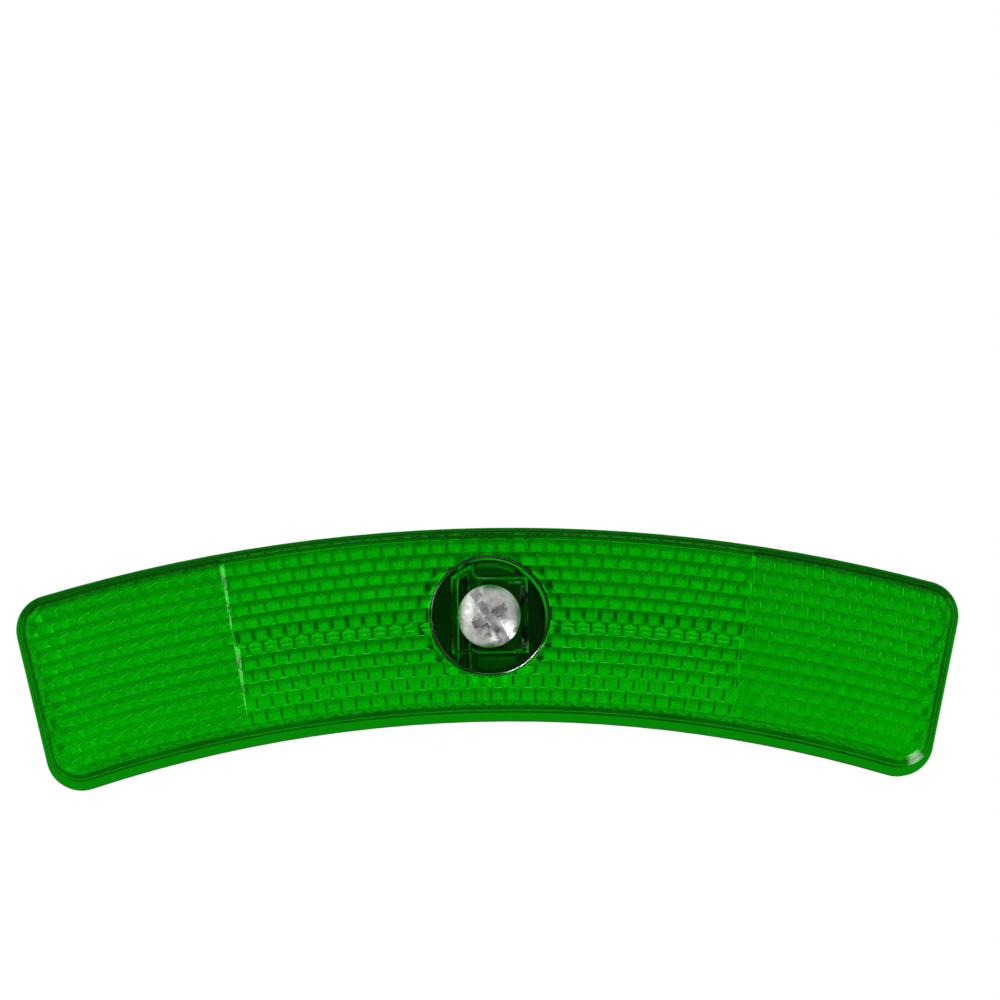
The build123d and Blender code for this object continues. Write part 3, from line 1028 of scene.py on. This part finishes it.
@dataclass
class Studio:
    """Floor, white surroundings, a soft lamp and the photograph's camera."""

    distance: float = 0.8  # camera's distance from the screw's head
    azimuth: float = -2.0  # camera's angle to the right, in degrees
    elevation: float = -3.0  # camera's angle above the screw, in degrees
    roll: float = 1.05  # turn of the picture, in degrees
    target: tuple[float, float, float] = (PLAN.hub_x, -9.8 * MM, 0.0)  # middle of the screw's head
    target_pixel: tuple[float, float] = (489.4, 616.5)  # where the screw's head lies in the picture
    pixel: float = 0.1435 * MM  # size of a pixel at the screw's head
    picture: int = 1000  # width of the picture in pixels
    sensor: float = 36.0  # width of the camera's sensor in millimetres
    nearest: float = 0.01  # nearest distance that the camera sees
    floor_height: float = -0.13
    floor_reach: float = 3.0  # half width of the floor
    floor_shade: float = 0.88
    floor_rough: float = 0.9
    lamp_place: tuple[float, float, float] = (-0.75, -0.4, 0.35)
    lamp_size: tuple[float, float] = (0.4, 0.4)
    lamp_power: float = 3.0  # watts
    fill: float = 0.85  # strength of the surroundings as light on plain surfaces
    through: float = 0.9  # strength of the surroundings seen straight through the glass
    side_dim: float = 0.8  # strength of the surroundings seen sideways through the glass
    side_edge: float = 0.55  # share of Y up to which a direction is sideways
    back_edge: float = 0.93  # share of Y from which it is straight
    # bright patches that polished faces mirror
    windows: tuple[Window, ...] = (
        Window((-0.978, -0.176, -0.11), 9.0, 75.0),
        Window((-0.5, -0.85, 0.1), 15.0, 3.0),
        Window((0.59, -0.26, -0.76), 26.0, 120.0),
        Window((0.65, 0.7, -0.3), 30.0, 30.0),
        Window((-0.65, 0.7, -0.3), 30.0, 30.0),
    )
    # brightness that they mirror, by place from the front, 0, to the back, 1
    mirrored: tuple[tuple[float, float], ...] = (
        (0.0, 0.03), (0.03, 0.03), (0.07, 0.8), (0.22, 0.75), (0.36, 0.05), (0.62, 0.05), (0.75, 0.02)
    )
    bounces: int = 64  # most times that light is followed

    def camera(self) -> None:
        """Set the camera so that the screw's head falls on its pixel."""
        angles = (self.azimuth, self.elevation, self.roll)
        azimuth, elevation, roll = (math.radians(angle) for angle in angles)
        target = Vector(self.target)
        level_share = math.cos(elevation)
        away = Vector(
            (math.sin(azimuth) * level_share, -math.cos(azimuth) * level_share, math.sin(elevation))
        )
        eye = target + self.distance * away
        across = (self.picture / 2 - self.target_pixel[0]) * self.pixel
        down = (self.target_pixel[1] - self.picture / 2) * self.pixel
        cos, sin = math.cos(roll), math.sin(roll)
        aim = target + Vector((across * cos + down * sin, 0.0, down * cos - across * sin))
        ahead = (aim - eye).normalized()
        level = ahead.cross(Vector((0, 0, 1))).normalized()
        upright = level.cross(ahead)
        right = cos * level - sin * upright
        up = sin * level + cos * upright
        data = bpy.data.cameras.new("photo_camera")
        data.sensor_width = self.sensor
        data.lens = self.sensor * self.distance / (self.picture * self.pixel)
        data.clip_start = self.nearest
        item = new_object("photo_camera", data)
        item.matrix_world = Matrix.Translation(eye) @ Matrix((right, up, -ahead)).transposed().to_4x4()
        bpy.context.scene.camera = item

    def through_level(self, tree: NodeTree, along: NodeSocket) -> NodeSocket:
        """Dim what is seen sideways through the glass and return the output with the strength."""
        edges, levels = (self.side_edge, self.back_edge), (self.side_dim, self.through)
        return ranged(tree, calc(tree, "ABSOLUTE", along), edges, levels, "SMOOTHSTEP")

    def mirrored_tone(self, tree: NodeTree, along: NodeSocket) -> NodeSocket:
        """Grade the surroundings that polished faces mirror, from front to back.

        Args:
            tree: The world's node tree.
            along: Output that carries a direction's Y.

        Returns:
            Output that carries the colour.
        """
        place = ranged(tree, along, (-1.0, 1.0), (0.0, 1.0))
        ramp = add(tree, "ShaderNodeValToRGB", {"Fac": place})
        stops = ramp.color_ramp.elements
        while len(stops) < len(self.mirrored):
            stops.new(1.0)
        for stop, (position, level) in zip(stops, self.mirrored):
            stop.position = position
            stop.color = (level, level, level, 1.0)
        return ramp.outputs["Color"]

    def window_level(self, tree: NodeTree, place: NodeSocket) -> NodeSocket:
        """Add the bright windows up.

        Args:
            tree: The world's node tree.
            place: Output that carries a direction.

        Returns:
            Output that carries the strength, 1 outside every window.
        """
        level = 1.0
        for window in self.windows:
            pair = {0: place, 1: Vector(window.toward).normalized()}
            facing = add(tree, "ShaderNodeVectorMath", pair, operation="DOT_PRODUCT").outputs["Value"]
            edges = [math.cos(math.radians(angle)) for angle in (window.spread, window.spread / 2)]
            glow = ranged(tree, facing, edges, (0.0, window.level), "SMOOTHSTEP")
            level = calc(tree, "ADD", level, glow)
        return level

    def surroundings(self) -> None:
        """White all round, with a strength of its own for each kind of light."""
        world = bpy.data.worlds.new("white_surroundings")
        bpy.context.scene.world = world
        world.use_nodes = True
        tree = world.node_tree
        tree.nodes.clear()
        place = add(tree, "ShaderNodeTexCoord").outputs["Generated"]
        along = add(tree, "ShaderNodeSeparateXYZ", {"Vector": place}).outputs["Y"]
        white = (1.0, 1.0, 1.0, 1.0)
        lights = {
            Ray.FILL: (white, self.fill),
            Ray.MIRRORED: (self.mirrored_tone(tree, along), self.window_level(tree, place)),
            Ray.THROUGH: (white, self.through_level(tree, along)),
            Ray.SEEN: (white, 1.0),
        }
        path = add(tree, "ShaderNodeLightPath").outputs
        surface = None
        for ray, (tone, strength) in lights.items():
            light = add(tree, "ShaderNodeBackground", {"Color": tone, "Strength": strength})
            shader = light.outputs["Background"]
            if surface is not None:
                layers = {"Fac": path[ray.value], 1: surface, 2: shader}
                shader = add(tree, "ShaderNodeMixShader", layers).outputs["Shader"]
            surface = shader
        add(tree, "ShaderNodeOutputWorld", {"Surface": surface})

    def lamp(self) -> None:
        """Add a soft rectangular lamp aimed at the reflector."""
        data = bpy.data.lights.new("key_softbox", "AREA")
        data.shape = "RECTANGLE"
        data.size, data.size_y = self.lamp_size
        data.energy = self.lamp_power
        item = new_object("key_softbox", data)
        item.location = self.lamp_place
        item.rotation_euler = (-Vector(self.lamp_place)).to_track_quat("-Z", "Y").to_euler()

    def floor(self) -> None:
        """Lay a plain pale floor."""
        reach = self.floor_reach
        mesh = bpy.data.meshes.new("pale_floor")
        corners = [(-reach, -reach), (reach, -reach), (reach, reach), (-reach, reach)]
        mesh.from_pydata([(x, y, self.floor_height) for x, y in corners], [], [(0, 1, 2, 3)])
        item = new_object("pale_floor", mesh)
        material = bpy.data.materials.new("pale_floor")
        material.use_nodes = True
        looks = {"Base Color": (*[self.floor_shade] * 3, 1.0), "Roughness": self.floor_rough}
        feed(material.node_tree.nodes["Principled BSDF"], looks)
        mesh.materials.append(material)
        item.visible_glossy = False
        item.visible_transmission = False

    def build(self) -> None:
        """Set up the whole studio."""
        scene = bpy.context.scene
        scene.view_settings.view_transform = "Standard"
        scene.cycles.max_bounces = self.bounces
        scene.cycles.glossy_bounces = self.bounces
        scene.cycles.transmission_bounces = self.bounces
        self.camera()
        self.surroundings()
        self.lamp()
        self.floor()


def main() -> None:
    """Build every sub-assembly."""
    logging.basicConfig(level=logging.INFO, format="%(name)s %(message)s")
    Studio().build()
    WeldedLens().build()
    PaintedCellLight().build()
    ClipSet().build()
    ThreadedScrew().build()


if __name__ == "__main__":
    main()
